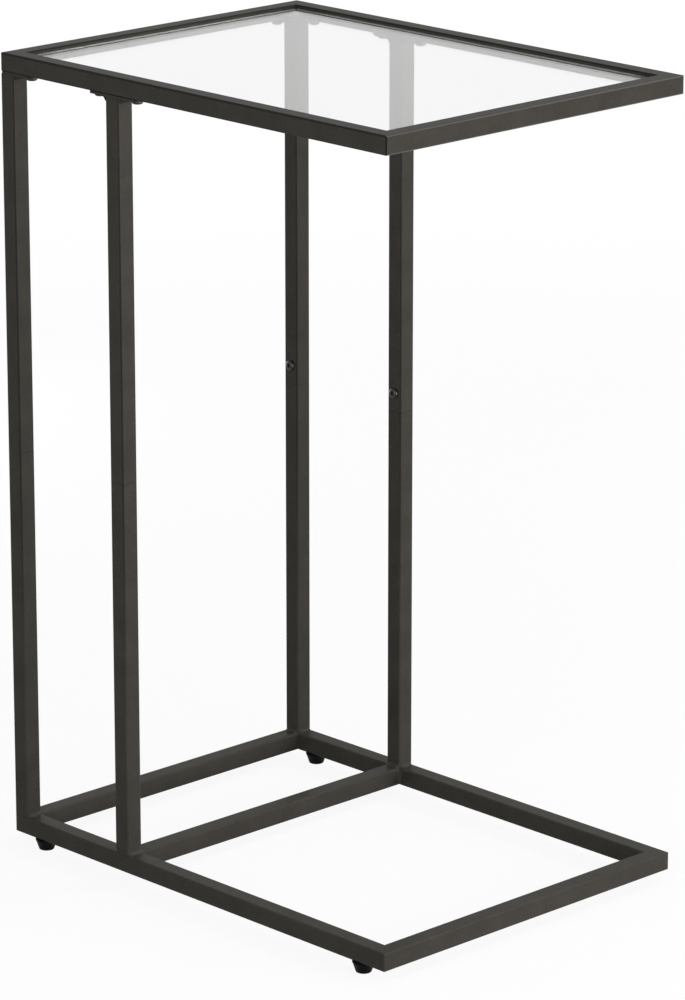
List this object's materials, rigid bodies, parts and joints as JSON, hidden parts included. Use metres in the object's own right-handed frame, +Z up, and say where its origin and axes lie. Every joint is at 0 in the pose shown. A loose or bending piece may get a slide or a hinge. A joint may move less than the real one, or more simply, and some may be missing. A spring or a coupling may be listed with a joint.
{
  "type": "side table",
  "caption": "C-shaped side table of square steel tube, legs at one end, with a glass pane let into its top frame and levelling feet.",
  "frame": {"origin": "middle of the table's footprint, on the floor under its feet", "axes": "+Z up, +X towards the open end that slides over a seat, so the legs stand at -X; Y across the width"},
  "size_m": [0.46, 0.343, 0.7],
  "materials": {
    "frame_coat": "dark bronze powder coat, fine satin",
    "screw_steel": "black-finished steel",
    "zinc_steel": "bright zinc plate",
    "clear_pad": "clear soft bumper",
    "glass": "clear tempered glass with ground edges",
    "foot_plastic": "black moulded plastic"
  },
  "bodies": {
    "frame": {"top_rail_left": "frame_coat", "top_rail_open_end": "frame_coat", "top_rail_right": "frame_coat", "top_rail_leg_end": "frame_coat", "base_rail_left": "frame_coat", "base_rail_open_end": "frame_coat", "base_rail_right": "frame_coat", "base_rail_leg_end": "frame_coat", "base_cross_rail": "frame_coat", "upper_leg_outer_left": "frame_coat", "lower_leg_outer_left": "frame_coat", "leg_sleeve_outer_left": "frame_coat", "leg_plate_outer_left": "frame_coat", "upper_leg_outer_right": "frame_coat", "lower_leg_outer_right": "frame_coat", "leg_sleeve_outer_right": "frame_coat", "leg_plate_outer_right": "frame_coat", "upper_leg_inner_left": "frame_coat", "lower_leg_inner_left": "frame_coat", "leg_sleeve_inner_left": "frame_coat", "leg_plate_inner_left": "frame_coat", "upper_leg_inner_right": "frame_coat", "lower_leg_inner_right": "frame_coat", "leg_sleeve_inner_right": "frame_coat", "leg_plate_inner_right": "frame_coat", "glass_gusset_leg_end_left": "frame_coat", "glass_gusset_leg_end_right": "frame_coat", "glass_gusset_open_end_left": "frame_coat", "glass_gusset_open_end_right": "frame_coat", "plate_screws": "screw_steel", "sleeve_screws": "screw_steel", "plate_nuts": "zinc_steel", "sleeve_nuts": "zinc_steel", "foot_nuts": "zinc_steel", "glass_pads": "clear_pad"},
    "glass": {"glass_pane": "glass"},
    "levelling_foot_leg_end_left": {"foot_leg_end_left": "foot_plastic", "foot_stud_leg_end_left": "zinc_steel"},
    "levelling_foot_leg_end_right": {"foot_leg_end_right": "foot_plastic", "foot_stud_leg_end_right": "zinc_steel"},
    "levelling_foot_open_end_left": {"foot_open_end_left": "foot_plastic", "foot_stud_open_end_left": "zinc_steel"},
    "levelling_foot_open_end_right": {"foot_open_end_right": "foot_plastic", "foot_stud_open_end_right": "zinc_steel"}
  },
  "joints": [
    {"name": "glass_lift", "type": "slide", "parent": "frame", "child": "glass", "axis": [0, 0, 1], "range_m": [0, 0.06]},
    {"name": "level_leg_end_left", "type": "slide", "parent": "frame", "child": "levelling_foot_leg_end_left", "axis": [0, 0, -1], "range_m": [0, 0.007]},
    {"name": "level_leg_end_right", "type": "slide", "parent": "frame", "child": "levelling_foot_leg_end_right", "axis": [0, 0, -1], "range_m": [0, 0.007]},
    {"name": "level_open_end_left", "type": "slide", "parent": "frame", "child": "levelling_foot_open_end_left", "axis": [0, 0, -1], "range_m": [0, 0.007]},
    {"name": "level_open_end_right", "type": "slide", "parent": "frame", "child": "levelling_foot_open_end_right", "axis": [0, 0, -1], "range_m": [0, 0.007]}
  ]
}
